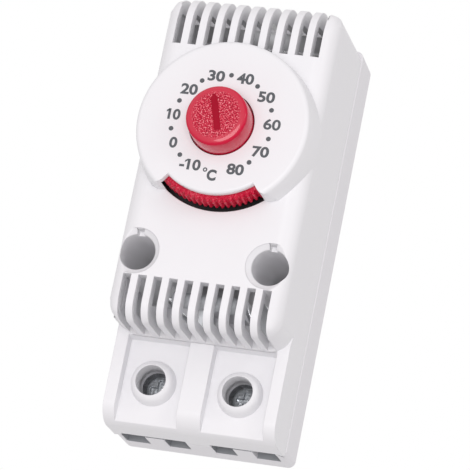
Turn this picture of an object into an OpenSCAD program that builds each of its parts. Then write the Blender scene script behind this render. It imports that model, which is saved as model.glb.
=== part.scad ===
// A rail-mounted thermostat with a setting wheel, built from separate pieces.
// X runs to the right seen from the front, Y runs from the front to the rail, Z runs up.
// The origin is the middle of the face that seats on the rail.

/* [Body] */
// Width of the body
body_w = 33; // [32:0.5:37]
// Height of the body
body_h = 81.6; // [80.6:0.2:86]
// Depth of the body from the front cover's face to its back
body_d = 31.5; // [31:0.5:36]
// Depth of the base, from its joint with the front cover to its back
base_d = 9.35; // [9:0.05:9.6]
// Thickness of the side, top and bottom walls
wall = 1.8; // [1.5:0.1:2]
// Thickness of the cover's front wall
front_wall = 2.4; // [2:0.1:2.6]
// Rounding of the cover's upper front corners
top_corner_r = 4.5; // [4:0.1:5]
// Rounding of the cover's lower front corners
low_corner_r = 3.7; // [3.2:0.1:4.2]
// Rounding of the body's corners at the joint and at the back
back_corner_r = 1.4; // [1:0.1:1.7]
// Step of the base inwards below the cover's top
base_top_step = 0.6; // [0.3:0.1:0.9]

/* [Vents] */
// Slots in each row
slot_count = 10; // [8:1:10]
// Distance from slot to slot
slot_pitch = 2.953; // [2.8:0.001:3]
// Width of a slot
slot_w = 1.62; // [1.4:0.01:1.8]
// How far a slot runs back from the cover's face
slot_depth = 10.9; // [10:0.1:11.2]
// Height of the lower row of slots above the cover's underside
low_slot_h = 8.24; // [7:0.01:8.5]
// Lower end of the upper row above the dial's axis
high_slot_up = 16.49; // [16.2:0.01:18]

/* [Dial] */
// Distance of the dial's axis below the body's top
dial_drop = 27.9; // [27:0.1:29]
// Radius of the dial disc's face
disc_r = 16.24; // [16:0.01:16.3]
// How much wider the dial disc is at its foot
disc_flare = 0.66; // [0.4:0.01:0.8]
// Height of the dial disc above the cover's face
disc_h = 4.89; // [4.6:0.01:5.2]
// Thickness of the dial disc's face
disc_t = 1.3; // [1:0.1:1.4]
// Thickness of the dial disc's side wall
disc_wall = 0.98; // [0.8:0.01:1.1]
// Clearance of the knob in its hole
knob_gap = 0.18; // [0.15:0.01:0.3]
// Half of the angle of the thumb opening in the disc
thumb_angle = 37.5; // [30:0.5:45]
// How far the thumb opening cuts into the disc from its edge
thumb_cut = 2.84; // [2.4:0.01:3.2]

/* [Setting wheel] */
// Gap round the knurled rim
rim_gap = 0.66; // [0.5:0.01:0.9]
// Depth of the teeth of the rim
tooth_h = 0.45; // [0.3:0.05:0.6]
// Teeth round the rim
tooth_count = 84; // [60:6:90]
// Width of the knurled rim
rim_w = 3.6; // [3:0.1:3.7]
// Radius of the knob at the dial disc's face
knob_r = 5.95; // [5.8:0.01:5.98]
// Radius of the knob at its front
knob_tip_r = 5.73; // [5.5:0.01:5.8]
// How far the knob stands out of the dial disc
knob_h = 4.61; // [4:0.01:5.5]
// Radius of the spindle
spindle_r = 2; // [1.8:0.1:2.2]
// Angle of the pointer at rest, clockwise from twelve o'clock
pointer_angle = 17; // [0:1:30]

/* [Terminals] */
// Height of the terminal block below the cover's front box
term_h = 16.65; // [16.4:0.05:17]
// Distance of the terminal block's front behind the cover's face
term_step = 11.3; // [11:0.1:11.6]
// Depth of the two panels behind the terminal block's front
panel_recess = 2.4; // [2.2:0.1:2.6]
// Width of the rims beside the panels
side_rim_w = 2.3; // [2:0.1:2.5]
// Width of the rib between the panels
mid_rim_w = 4.6; // [4.2:0.1:5]
// Sideways distance of each terminal screw from the middle of its panel
term_shift = 0.05; // [0.05:0.05:0.25]
// Height of the terminal screws above the body's bottom
term_up = 8.4; // [8:0.1:9]
// Radius of the screwdriver hole over a terminal screw
term_hole_r = 2.85; // [2.8:0.01:2.95]
// Radius of the collar round a screwdriver hole, at its front
collar_r = 3.8; // [3.6:0.01:4]
// Radius of the collar at its foot
collar_foot_r = 4.3; // [4.2:0.01:4.5]
// Height of the collar over its panel
collar_h = 2.6; // [2.3:0.1:2.8]
// Radius of a terminal screw's shank
screw_r = 1.75; // [1.6:0.05:1.8]
// Radius of a terminal screw's head
screw_head_r = 2.6; // [2.5:0.05:2.7]
// Thickness of a terminal screw's head
screw_head_h = 2.4; // [2:0.1:2.5]
// Travel of a clamp plate from open to tight
clamp_travel = 2.4; // [2:0.1:2.6]
// Height of a wire window from front to back
window_d = 5.05; // [4.8:0.05:5.1]

/* [Wells] */
// Distance of each screw well's axis from the body's side
well_inset = 3.9; // [3.8:0.05:4]
// Height of the screw wells' axes above the underside of the cover's front box
well_up = 12.75; // [12.6:0.05:13.2]
// Radius of a screw well
well_r = 3.4; // [3.2:0.01:3.45]
// Radius of the chamfered mouth of a screw well
well_mouth_r = 4.35; // [4.1:0.01:4.4]
// Depth of a screw well
well_depth = 18.5; // [17.5:0.1:18.8]

/* [Rail] */
// Height of the rail that the body seats on
rail_h = 35; // [35:0.1:35.2]
// Thickness of the rail's flange
rail_t = 1; // [1:0.1:1.2]
// How far the hook and the clip's guide stand out behind the seat
rail_depth = 5; // [4.8:0.1:5.4]
// Reach of the fixed hook and of the clip behind the rail's flange
hook_reach = 1.5; // [1.2:0.1:1.8]
// Travel of the rail clip
clip_travel = 2.6; // [2:0.1:3]

/* [Mechanism] */
// Width of the bimetal strip
bimetal_w = 8; // [7:0.2:8.4]
// Thickness of the bimetal strip
bimetal_t = 0.5; // [0.4:0.05:0.6]
// Width of the adjusting lever
lever_w = 7; // [6:0.2:7.4]
// Thickness of the adjusting lever and of the sheet brackets
sheet_t = 0.8; // [0.6:0.05:0.9]
// Radius of the contacts
contact_r = 1.5; // [1.2:0.1:1.7]
// Thickness of each contact
contact_t = 0.7; // [0.5:0.05:0.8]
// Length of the feedback resistor's body
resistor_l = 12.5; // [11:0.5:13]
// Radius of the feedback resistor's body
resistor_r = 1.55; // [1.4:0.05:1.8]

/* [Hidden] */
$fn = 64;

// Shared small values
over = 0.5;
fine = 0.05;
play = 0.2;
seat_step = 0.3;
hull_sides = 32;
half_w = body_w / 2;
half_h = body_h / 2;
disc_foot_r = disc_r + disc_flare;
pocket_r = disc_r - disc_wall;
thumb_r = disc_r - thumb_cut;
rim_r = pocket_r - rim_gap;
knob_hole_r = knob_r + knob_gap;

// Places from front to back
back_y = -seat_step;
face_y = back_y - body_d;
seam_y = back_y - base_d;
term_y = face_y + term_step;
panel_y = term_y + panel_recess;
disc_y = face_y - disc_h;
floor_y = back_y - wall;

// Places from bottom to top
top_z = half_h;
bot_z = -half_h;
dial_z = top_z - dial_drop;
under_z = bot_z + term_h;
term_z = bot_z + term_up;
well_z = under_z + well_up;

// Places from side to side
well_x = half_w - well_inset;
term_x = (mid_rim_w / 2 + half_w - side_rim_w) / 2 + term_shift;

// Terminal block
nose_run = 5;
nose_rise = 3.9;
nose_steps = 12;
panel_t = 1.8;
divider_w = 2;
tube_in = 1;
rim_fillet_r = 0.9;
window_side = 1.6;
window_mid = 2.4;
window_x_out = half_w - window_side;
window_w_out = window_x_out - term_x - screw_r - play;
window_x_in = term_x - screw_r + fine;
window_w_in = window_x_in - window_mid;
notch_in = 1.4;
tongue_out = 0.55;
window_front = 0.95;
window_y = seam_y - window_front;
plate_y = window_y + window_d;

// Screw wells and the housing screws
well_wall = 1.2;
well_floor = 1.8;
well_chamfer = 0.5;
well_key_w = 1.3;
well_key_h = 0.9;
well_key_d = 2.2;
well_end_y = face_y + well_depth;
side_keep = 0.35;
fix_head_r = 2.7;
fix_head_h = 1.8;
fix_r = 1.25;
fix_hole_r = 1.5;
fix_l = 5.2;
post_r = half_w - wall - well_x - play;
cross_w = 0.7;
cross_l = 3.4;
cross_d = 1;

// Wheel, spindle and the carrier behind the wheel
wheel_gap = 0.2;
rim_front_y = disc_y + disc_t + wheel_gap;
rim_back_y = rim_front_y + rim_w;
knob_front_y = disc_y - knob_h;
knob_round = 0.7;
arrow_w = 1.3;
arrow_l = 4.2;
arrow_head_w = 2.1;
arrow_head_l = 1.6;
arrow_d = 0.45;
arrow_tail = 2.9;
hub_r = 4.6;
flat_share = 0.62;
socket_d = 6;
bush_r = 3.5;
bush_flange_r = 4.6;
bush_flange_t = 0.8;
carrier_t = 1.6;
carrier_side = 4.3;
carrier_w = body_w - carrier_side - carrier_side;
carrier_up = 15.2;
carrier_low_gap = 2.5;
carrier_low_z = well_z + well_r + well_wall + carrier_low_gap;
carrier_y = face_y + front_wall + play;
boss_r = 7.6;
leg_w = 2.6;
tip_r = 1.2;
tip_l = 1.6;
lever_in = 10.5;
lever_y = face_y + lever_in;
tip_gap = 0.15;

// Lever, bimetal and contacts
pin_r = 1;
eye_r = 2;
eye_gap = 0.3;
ear_x = bimetal_w / 2 + play + play;
lever_up = 11;
strip_gap = 4.4;
strip_y = lever_y + sheet_t + strip_gap;
spacer_r = 2;
rivet_r = 1.2;
rivet_head_r = 2;
rivet_head_t = 0.8;
rivet_up = 8.5;
strip_over = 3;
strip_up = 9.4;
contact_up = 8.8;
rivet_z = dial_z + rivet_up;
strip_top_z = rivet_z + strip_over;
strip_low_z = under_z + strip_up;
contact_z = strip_low_z + contact_up;
armature_l = 2.8;
armature_t = 1;
armature_w = 7;
contact_gap = 0.1;
magnet_gap = 0.3;
magnet_l = 3.4;
magnet_w = 6;
magnet_t = 2.5;
bar_w = 3;
bar_x = 4;
bar_up = 2.6;
bar_low_z = term_z + bar_up;
arm_w = 4;
pin_gap = 0.95;
pin_z = contact_z + arm_w / 2 + eye_r + pin_gap;

// Feedback resistor
res_x = 0.6;
res_in = 6;
res_up = 6.1;
res_y = face_y + res_in;
res_z = under_z + res_up;
lead_r = 0.35;
lead_out = 1.4;

// Terminal screws and clamp plates
clamp_side = 0.8;
clamp_w = 2 * (half_w - wall - term_x - clamp_side);
clamp_l = 7.6;
clamp_t = 1.2;
clamp_y = window_y - clamp_t - play / 2;
head_y = clamp_y - screw_head_h - fine;
screw_end = 1.2;
screw_room = clamp_travel + play;

// Rail channel, clip and its spring
rail_play = 0.5;
channel_h = rail_h + rail_play;
seat_h = channel_h - hook_reach - hook_reach - rail_play;
pad_side = 2;
hook_w = 28;
hook_t = 3.4;
hook_slope = 1;
guide_w = 16;
guide_floor = 1.5;
nose_room = clip_travel + play + play;
lip_y = rail_t + rail_play / 2;
groove_in = 0.6;
groove_y = lip_y + groove_in;
flange_t = 1.2;
flange_w = 11.4;
clip_w = 9;
clip_up = 9.4;
clip_low_z = bot_z + clip_up;
clip_t = rail_depth - groove_y - play - play;
groove_up = 3.6;
groove_low_z = bot_z + groove_up;
nose_t = 1.6;
eye_w = 4;
eye_h = 1.6;
eye_up = 3.2;
spring_wire_r = 0.2;
spring_r = 1;
spring_turns = 5;
ring_steps = 8;
wire_sides = 6;

// Plain helpers
module block(x0, x1, y0, y1, z0, z1) {
    translate([x0, y0, z0]) cube([x1 - x0, y1 - y0, z1 - z0]);
}
module rod_y(r, y0, y1, x, z) {
    translate([x, y0, z]) rotate([-90, 0, 0]) cylinder(r = r, h = y1 - y0);
}
module cone_y(r0, r1, y0, y1, x, z) {
    translate([x, y0, z]) rotate([-90, 0, 0]) cylinder(r1 = r0, r2 = r1, h = y1 - y0);
}
module rod_x(r, x0, x1, y, z) {
    translate([x0, y, z]) rotate([0, 90, 0]) cylinder(r = r, h = x1 - x0);
}
module wire(a, b, r) {
    d = b - a;
    l = norm(d);
    translate(a) rotate([0, acos(d[2] / l), atan2(d[1], d[0])]) cylinder(r = r, h = l, $fn = 24);
}

// The cover's front box, drawn smaller by inset on every side and longer at the back by tail
module cover_form(inset, tail) {
    hull() {
        for (s = [-1, 1]) {
            translate([s * (half_w - top_corner_r), face_y + top_corner_r + inset * front_wall / wall
                - inset, top_z - top_corner_r])
                sphere(r = top_corner_r - inset, $fn = hull_sides);
            translate([s * (half_w - low_corner_r), face_y + low_corner_r + inset * front_wall / wall
                - inset, under_z + low_corner_r])
                sphere(r = low_corner_r - inset, $fn = hull_sides);
            translate([s * (half_w - back_corner_r - inset), seam_y + tail,
                top_z - back_corner_r - inset])
                rotate([90, 0, 0]) cylinder(r = back_corner_r, h = wall + tail, $fn = hull_sides);
            translate([s * (half_w - back_corner_r - inset), seam_y + tail,
                under_z + back_corner_r + inset])
                rotate([90, 0, 0]) cylinder(r = back_corner_r, h = wall + tail, $fn = hull_sides);
        }
    }
}

// Side outline of the terminal block, with its rounded nose at the bottom, drawn smaller by inset
function nose_points(inset) = [for (i = [0:nose_steps])
    let (a = 90 * i / nose_steps)
    [term_y + nose_run - (nose_run - inset) * cos(a), bot_z + nose_rise - (nose_rise - inset) * sin(a)]];

module terminal_form(inset, front, back, width, top) {
    translate([-width / 2, 0, 0])
        rotate([90, 0, 90])
        linear_extrude(height = width)
        polygon(concat([[front, top]], [[front, bot_z + nose_rise]],
            [for (p = nose_points(inset)) if (p[0] > front) p], [[back, bot_z + inset], [back, top]]));
}

// The ten slots of one row, from z0 to z1
module slots(z0, z1) {
    for (i = [0:slot_count - 1]) {
        x = (i - (slot_count - 1) / 2) * slot_pitch;
        block(x - slot_w / 2, x + slot_w / 2, face_y - over, face_y + slot_depth, z0, z1);
    }
}

module thumb_wedge(r) {
    reach = r / cos(thumb_angle);
    translate([0, face_y, dial_z])
        rotate([90, 0, 0])
        linear_extrude(height = disc_h + over)
        polygon([[0, 0], [-reach * sin(thumb_angle), -reach * cos(thumb_angle)],
            [-reach * sin(thumb_angle), -r - r], [reach * sin(thumb_angle), -r - r],
            [reach * sin(thumb_angle), -reach * cos(thumb_angle)]]);
}

module dial_disc() {
    difference() {
        union() {
            translate([0, face_y, dial_z])
                rotate([90, 0, 0])
                rotate_extrude()
                polygon(concat([[0, 0], [disc_foot_r, 0]],
                    [for (a = [0:15:90]) [disc_r - rim_fillet_r + rim_fillet_r * cos(a),
                        disc_h - rim_fillet_r + rim_fillet_r * sin(a)]], [[0, disc_h]]));
            for (s = [0, 1]) {
                mirror([s, 0, 0]) intersection() {
                    rod_y(disc_foot_r, face_y, face_y + low_corner_r, 0, dial_z);
                    block(half_w - low_corner_r, half_w + over, face_y,
                        face_y + low_corner_r, dial_z - disc_r, dial_z + disc_r);
                }
            }
        }
        rod_y(pocket_r, disc_y + disc_t, face_y + low_corner_r + over, 0, dial_z);
        rod_y(knob_hole_r, disc_y - over, disc_y + disc_t + over, 0, dial_z);
        difference() {
            thumb_wedge(disc_foot_r + over);
            rod_y(thumb_r, disc_y - over, face_y + over, 0, dial_z);
        }
    }
}

// One screw well's tube inside the cover, kept clear of the outside of the side wall
module well_tube(s) {
    intersection() {
        rod_y(well_r + well_wall, face_y + front_wall - over, well_end_y + well_floor, s * well_x, well_z);
        block(-half_w + side_keep, half_w - side_keep, face_y, seam_y, bot_z, top_z);
    }
}

// The two windows for wires beside one screw, on the side s, cut from y0 to y1
module windows(s, y0, y1) {
    for (row = [[window_x_out, window_w_out], [window_x_in, window_w_in]]) {
        x0 = s < 0 ? -row[0] : row[0] - row[1];
        block(x0, x0 + row[1], y0, y1, bot_z - over, bot_z + wall + over);
    }
}

module front_housing() {
    color([0.93, 0.93, 0.94]) difference() {
        union() {
            difference() {
                union() {
                    cover_form(0, 0);
                    terminal_form(0, term_y, seam_y, body_w, under_z + low_corner_r + back_corner_r);
                }
                cover_form(wall, over);
                slots(under_z - over, under_z + low_slot_h);
                slots(dial_z + high_slot_up, top_z + over);
                // The panels in front of the terminals
                for (s = [0, 1]) {
                    mirror([s, 0, 0])
                        block(mid_rim_w / 2, half_w - side_rim_w, term_y - over, panel_y,
                            bot_z - over, under_z);
                }
                // The chambers of the terminals
                intersection() {
                    terminal_form(wall, panel_y + panel_t, seam_y + over, body_w - wall - wall,
                        under_z + low_corner_r + back_corner_r);
                    for (s = [0, 1]) {
                        mirror([s, 0, 0])
                            block(divider_w / 2, half_w, panel_y + panel_t, seam_y + over,
                                bot_z, under_z + low_corner_r + back_corner_r);
                    }
                }
            }
            dial_disc();
            well_tube(-1);
            well_tube(1);
            for (s = [-1, 1]) {
                cone_y(collar_r, collar_foot_r, panel_y - collar_h, panel_y + fine, s * term_x, term_z);
                rod_y(collar_r, panel_y, panel_y + panel_t + tube_in, s * term_x, term_z);
            }
        }
        rod_y(pocket_r, face_y - over, face_y + front_wall + over, 0, dial_z);
        for (s = [-1, 1]) {
            rod_y(well_r, face_y - over, well_end_y, s * well_x, well_z);
            cone_y(well_mouth_r + fine, well_r, face_y - fine, face_y + well_chamfer, s * well_x, well_z);
            block(s * well_x - well_key_w / 2, s * well_x + well_key_w / 2, face_y - over,
                face_y + well_key_d, well_z, well_z + well_r + well_key_h);
            rod_y(fix_hole_r, face_y, seam_y, s * well_x, well_z);
            rod_y(term_hole_r, panel_y - collar_h - over, panel_y + panel_t + tube_in + over,
                s * term_x, term_z);
        }
        // A notch over each pair of wire windows
        for (s = [0, 1]) {
            mirror([s, 0, 0])
                block(window_x_in - window_w_in, window_x_out, seam_y - notch_in, seam_y + over,
                    bot_z - over, bot_z + wall + over);
        }
    }
}

module base_form(z1) {
    hull() {
        for (s = [-1, 1]) {
            for (z = [bot_z + back_corner_r, z1 - back_corner_r]) {
                translate([s * (half_w - back_corner_r), back_y - back_corner_r, z])
                    sphere(r = back_corner_r, $fn = hull_sides);
                translate([s * (half_w - back_corner_r), seam_y + wall, z])
                    rotate([90, 0, 0]) cylinder(r = back_corner_r, h = wall, $fn = hull_sides);
            }
        }
    }
}

// The fixed hook over the rail's upper flange
module rail_hook() {
    low_z = channel_h / 2;
    translate([-hook_w / 2, 0, 0])
        rotate([90, 0, 90])
        linear_extrude(height = hook_w)
        polygon([[back_y - fine, low_z], [lip_y, low_z], [lip_y, low_z - hook_reach],
            [rail_depth - hook_slope, low_z - hook_reach], [rail_depth, low_z - hook_reach + hook_slope],
            [rail_depth, low_z + hook_t], [back_y - fine, low_z + hook_t + hook_t]]);
}

module rear_base() {
    high_z = top_z - base_top_step;
    guide_top_z = -channel_h / 2;
    color([0.91, 0.91, 0.92]) difference() {
        union() {
            difference() {
                base_form(high_z);
                // The inside, with a higher floor under the terminals
                block(-half_w + wall, half_w - wall, seam_y - over, floor_y, bar_low_z, high_z - wall);
                block(-half_w + wall, half_w - wall, seam_y - over, plate_y + sheet_t,
                    bot_z + wall, bar_low_z + over);
                for (s = [-1, 1]) {
                    windows(s, seam_y - over, plate_y);
                }
            }
            // The wall between the terminals
            block(-divider_w / 2, divider_w / 2, seam_y, plate_y + sheet_t + fine,
                bot_z + wall - fine, bar_low_z);
            // A tongue between the two windows of each terminal, in the cover's notch
            for (s = [0, 1]) {
                mirror([s, 0, 0])
                    block(window_x_in, window_x_out - window_w_out, seam_y - tongue_out, seam_y + fine,
                        bot_z, bot_z + wall);
            }
            // Posts for the housing screws and the magnet's post
            for (s = [-1, 1]) {
                rod_y(post_r, well_end_y + well_floor + fine, floor_y + fine, s * well_x, well_z);
            }
            block(-magnet_w / 2, magnet_w / 2, strip_y + bimetal_t + armature_t + magnet_gap + magnet_t,
                floor_y + fine, strip_low_z, strip_low_z + magnet_l);
            // The pad that seats on the rail, the hook above it and the clip's guide below it
            block(-half_w + pad_side, half_w - pad_side, back_y - fine, 0, -seat_h / 2, seat_h / 2);
            rail_hook();
            block(-guide_w / 2, guide_w / 2, back_y - fine, rail_depth, groove_low_z - guide_floor, guide_top_z);
        }
        // The groove of the rail clip
        block(-flange_w / 2 - play, flange_w / 2 + play, groove_y, groove_y + flange_t + play,
            groove_low_z, guide_top_z + over);
        block(-clip_w / 2 - play, clip_w / 2 + play, groove_y, rail_depth + over,
            groove_low_z, guide_top_z + over);
        block(-clip_w / 2 - play, clip_w / 2 + play, lip_y - play, groove_y + over,
            guide_top_z - nose_room, guide_top_z + over);
        for (s = [-1, 1]) {
            rod_y(fix_r + fine, well_end_y + well_floor, well_end_y + fix_l + play, s * well_x, well_z);
            rod_y(screw_r + play, plate_y, plate_y + screw_end + screw_room, s * term_x, term_z);
        }
    }
}

module cross_slot(y, x, z) {
    block(x - cross_w / 2, x + cross_w / 2, y - over, y + cross_d, z - cross_l / 2, z + cross_l / 2);
    block(x - cross_l / 2, x + cross_l / 2, y - over, y + cross_d, z - cross_w / 2, z + cross_w / 2);
}

module housing_screws() {
    color([0.75, 0.75, 0.77]) for (s = [-1, 1]) {
        difference() {
            union() {
                rod_y(fix_head_r, well_end_y - fix_head_h, well_end_y, s * well_x, well_z);
                rod_y(fix_r, well_end_y - fine, well_end_y + fix_l, s * well_x, well_z);
            }
            cross_slot(well_end_y - fix_head_h, s * well_x, well_z);
        }
    }
}

module pointer_arrow() {
    translate([0, knob_front_y + arrow_d, dial_z])
        rotate([0, -pointer_angle, 0])
        rotate([90, 0, 0])
        linear_extrude(height = arrow_d + over)
        polygon([[-arrow_w / 2, -arrow_tail], [arrow_w / 2, -arrow_tail], [arrow_w / 2, arrow_l - arrow_head_l],
            [arrow_head_w / 2, arrow_l - arrow_head_l], [0, arrow_l],
            [-arrow_head_w / 2, arrow_l - arrow_head_l], [-arrow_w / 2, arrow_l - arrow_head_l]]);
}

module d_rod(r, flat, y0, y1) {
    intersection() {
        rod_y(r, y0, y1, 0, dial_z);
        block(-r, r, y0, y1, dial_z - r, dial_z + flat);
    }
}

module setting_wheel() {
    color([0.78, 0.11, 0.22]) difference() {
        union() {
            translate([0, rim_back_y, dial_z])
                rotate([90, 0, 0])
                linear_extrude(height = rim_w)
                polygon([for (i = [0:tooth_count - 1]) for (step = [0, 0.5])
                    let (a = 360 * (i + step) / tooth_count, r = rim_r - (step > 0 ? tooth_h : 0))
                    [r * sin(a), r * cos(a)]]);
            rod_y(knob_r, disc_y, rim_front_y + fine, 0, dial_z);
            translate([0, disc_y, dial_z])
                rotate([90, 0, 0])
                rotate_extrude()
                polygon(concat([[0, -fine], [knob_r, -fine], [knob_r, 0]],
                    [for (a = [0:15:90]) [knob_tip_r - knob_round + knob_round * cos(a),
                        knob_h - knob_round + knob_round * sin(a)]], [[0, knob_h]]));
        }
        pointer_arrow();
        // The wheel is dished behind, round the hub
        difference() {
            rod_y(rim_r - tooth_h - wall, rim_front_y + disc_t, rim_back_y + over, 0, dial_z);
            rod_y(hub_r, rim_front_y, rim_back_y + over, 0, dial_z);
        }
        d_rod(spindle_r + fine, spindle_r * flat_share + fine, rim_back_y - socket_d, rim_back_y + over);
    }
}

module adjusting_spindle() {
    color([0.72, 0.72, 0.74]) {
        d_rod(spindle_r, spindle_r * flat_share, rim_back_y - socket_d + wheel_gap + wheel_gap,
            rim_back_y + wheel_gap + fine);
        rod_y(spindle_r, rim_back_y + wheel_gap, lever_y - tip_gap - tip_l, 0, dial_z);
        cone_y(spindle_r, tip_r, lever_y - tip_gap - tip_l - fine, lever_y - tip_gap, 0, dial_z);
    }
}

module spindle_bush() {
    bush_y = carrier_y + carrier_t;
    color([0.80, 0.66, 0.36]) difference() {
        union() {
            rod_y(bush_r, rim_back_y + play, bush_y + bush_flange_t, 0, dial_z);
            rod_y(bush_flange_r, bush_y, bush_y + bush_flange_t, 0, dial_z);
        }
        rod_y(spindle_r + fine, rim_back_y, bush_y + bush_flange_t + over, 0, dial_z);
    }
}

module wheel_carrier() {
    color([0.10, 0.10, 0.11]) difference() {
        union() {
            block(-carrier_w / 2, carrier_w / 2, carrier_y, carrier_y + carrier_t,
                carrier_low_z, dial_z + carrier_up);
            rod_y(boss_r, rim_back_y + play, carrier_y + fine, 0, dial_z);
            for (s = [0, 1]) {
                for (z = [carrier_low_z, dial_z + carrier_up - leg_w]) {
                    mirror([s, 0, 0])
                        block(carrier_w / 2 - leg_w, carrier_w / 2, carrier_y + carrier_t - fine, floor_y,
                            z, z + leg_w);
                }
            }
        }
        rod_y(bush_r + fine, rim_back_y, carrier_y + carrier_t + over, 0, dial_z);
    }
}

module adjusting_lever() {
    color([0.70, 0.71, 0.73]) difference() {
        union() {
            block(-lever_w / 2, lever_w / 2, lever_y, lever_y + sheet_t, pin_z, rivet_z + lever_up / 3);
            rod_x(eye_r, -ear_x + eye_gap, ear_x - eye_gap, lever_y + eye_r, pin_z);
        }
        rod_x(pin_r + fine, -lever_w, lever_w, lever_y + eye_r, pin_z);
        rod_y(rivet_r + fine, lever_y - over, lever_y + sheet_t + over, 0, rivet_z);
    }
}

module lever_rivet() {
    color([0.80, 0.66, 0.36]) {
        rod_y(rivet_head_r, lever_y - rivet_head_t, lever_y, 0, rivet_z);
        rod_y(rivet_r, lever_y - fine, strip_y + bimetal_t + play + fine, 0, rivet_z);
        rod_y(rivet_head_r, strip_y + bimetal_t + play, strip_y + bimetal_t + play + rivet_head_t, 0, rivet_z);
        difference() {
            rod_y(spacer_r, lever_y + sheet_t, strip_y - play, 0, rivet_z);
            rod_y(rivet_r, lever_y, strip_y, 0, rivet_z);
        }
    }
}

module lever_pin() {
    pin_x = ear_x + sheet_t + sheet_t;
    color([0.72, 0.72, 0.74]) rod_x(pin_r, -pin_x, pin_x, lever_y + eye_r, pin_z);
}

// A flat bar on the floor from z1 down to a terminal plate on the side s
module terminal_bar(s, z1) {
    mirror([s < 0 ? 1 : 0, 0, 0]) difference() {
        union() {
            block(bar_x, bar_x + bar_w, floor_y - sheet_t, floor_y, bar_low_z, z1);
            block(bar_x, bar_x + bar_w, plate_y, floor_y, bar_low_z, bar_low_z + sheet_t);
            block(divider_w / 2 + play, half_w - wall - play, plate_y, plate_y + sheet_t,
                bot_z + wall + play, bar_low_z + sheet_t);
        }
        rod_y(screw_r + fine, plate_y - over, plate_y + sheet_t + over, term_x, term_z);
    }
}

module pivot_bracket() {
    ear_h = eye_r + eye_r;
    color([0.76, 0.64, 0.38]) {
        for (s = [0, 1]) {
            mirror([s, 0, 0]) difference() {
                block(ear_x, ear_x + sheet_t, lever_y, floor_y, pin_z - ear_h / 2, pin_z + ear_h / 2);
                rod_x(pin_r + fine, ear_x - over, ear_x + sheet_t + over, lever_y + eye_r, pin_z);
            }
        }
        block(-ear_x - sheet_t, ear_x + sheet_t, floor_y - sheet_t, floor_y,
            pin_z - ear_h / 2, pin_z + ear_h / 2);
        terminal_bar(1, pin_z);
    }
}

module contact_strip() {
    contact_y = strip_y + bimetal_t + contact_t + contact_gap + contact_t;
    color([0.76, 0.64, 0.38]) {
        difference() {
            block(-bar_x - bar_w, arm_w / 2, contact_y, contact_y + sheet_t,
                contact_z - arm_w / 2, contact_z + arm_w / 2);
            rod_y(contact_r / 2, contact_y - over, contact_y + sheet_t + over, 0, contact_z);
        }
        block(-bar_x - bar_w, -bar_x - bar_w + sheet_t, contact_y, floor_y,
            contact_z - arm_w / 2, contact_z + arm_w / 2);
        terminal_bar(-1, contact_z + arm_w / 2);
    }
}

module fixed_contact() {
    contact_y = strip_y + bimetal_t + contact_t + contact_gap;
    color([0.85, 0.85, 0.86]) {
        rod_y(contact_r, contact_y, contact_y + contact_t, 0, contact_z);
        rod_y(contact_r / 2, contact_y + fine, contact_y + contact_t + sheet_t, 0, contact_z);
    }
}

module moving_contact() {
    color([0.85, 0.85, 0.86]) {
        rod_y(contact_r, strip_y + bimetal_t, strip_y + bimetal_t + contact_t, 0, contact_z);
        rod_y(contact_r / 2, strip_y, strip_y + bimetal_t + fine, 0, contact_z);
    }
}

module bimetal_strip() {
    color([0.66, 0.62, 0.55]) difference() {
        block(-bimetal_w / 2, bimetal_w / 2, strip_y, strip_y + bimetal_t, strip_low_z, strip_top_z);
        rod_y(rivet_r + play, strip_y - over, strip_y + bimetal_t + over, 0, rivet_z);
        rod_y(contact_r / 2, strip_y - over, strip_y + bimetal_t + over, 0, contact_z);
    }
}

module armature() {
    color([0.60, 0.61, 0.63])
        block(-armature_w / 2, armature_w / 2, strip_y + bimetal_t, strip_y + bimetal_t + armature_t,
            strip_low_z, strip_low_z + armature_l);
}

module snap_magnet() {
    magnet_y = strip_y + bimetal_t + armature_t + magnet_gap;
    color([0.24, 0.24, 0.26])
        block(-magnet_w / 2, magnet_w / 2, magnet_y, magnet_y + magnet_t, strip_low_z, strip_low_z + magnet_l);
}

module feedback_resistor() {
    end_share = 0.8;
    end_r = resistor_r * end_share;
    color([0.85, 0.83, 0.76]) difference() {
        union() {
            rod_x(resistor_r, res_x - resistor_l / 2 + lead_out, res_x + resistor_l / 2 - lead_out, res_y, res_z);
            rod_x(end_r, res_x - resistor_l / 2, res_x + resistor_l / 2, res_y, res_z);
        }
        rod_x(lead_r + fine, res_x - resistor_l, res_x + resistor_l, res_y, res_z);
    }
}

module resistor_leads() {
    left = [res_x - resistor_l / 2 - lead_out, res_y, res_z];
    right = [res_x + resistor_l / 2 + lead_out, res_y, res_z];
    left_end = [-bar_x - bar_w / 2, floor_y - sheet_t, res_z];
    right_end = [bar_x + bar_w / 2, floor_y - sheet_t, res_z];
    color([0.80, 0.80, 0.82]) {
        wire(left, right, lead_r);
        wire(left, left_end, lead_r);
        wire(right, right_end, lead_r);
        translate(left) sphere(r = lead_r, $fn = 24);
        translate(right) sphere(r = lead_r, $fn = 24);
    }
}

module clamp_plate(s) {
    x = s * term_x;
    color([0.74, 0.75, 0.76]) difference() {
        block(x - clamp_w / 2, x + clamp_w / 2, clamp_y, clamp_y + clamp_t, term_z - clamp_l / 2,
            term_z + clamp_l / 2);
        rod_y(screw_r + fine, clamp_y - over, clamp_y + clamp_t + over, x, term_z);
    }
}

module left_clamp_plate() {
    clamp_plate(-1);
}

module right_clamp_plate() {
    clamp_plate(1);
}

module terminal_screw(s) {
    x = s * term_x;
    color([0.74, 0.75, 0.77]) difference() {
        union() {
            rod_y(screw_head_r, head_y, head_y + screw_head_h, x, term_z);
            rod_y(screw_r, head_y + fine, plate_y + screw_end, x, term_z);
        }
        cross_slot(head_y, x, term_z);
    }
}

module left_terminal_screw() {
    terminal_screw(-1);
}

module right_terminal_screw() {
    terminal_screw(1);
}

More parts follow.
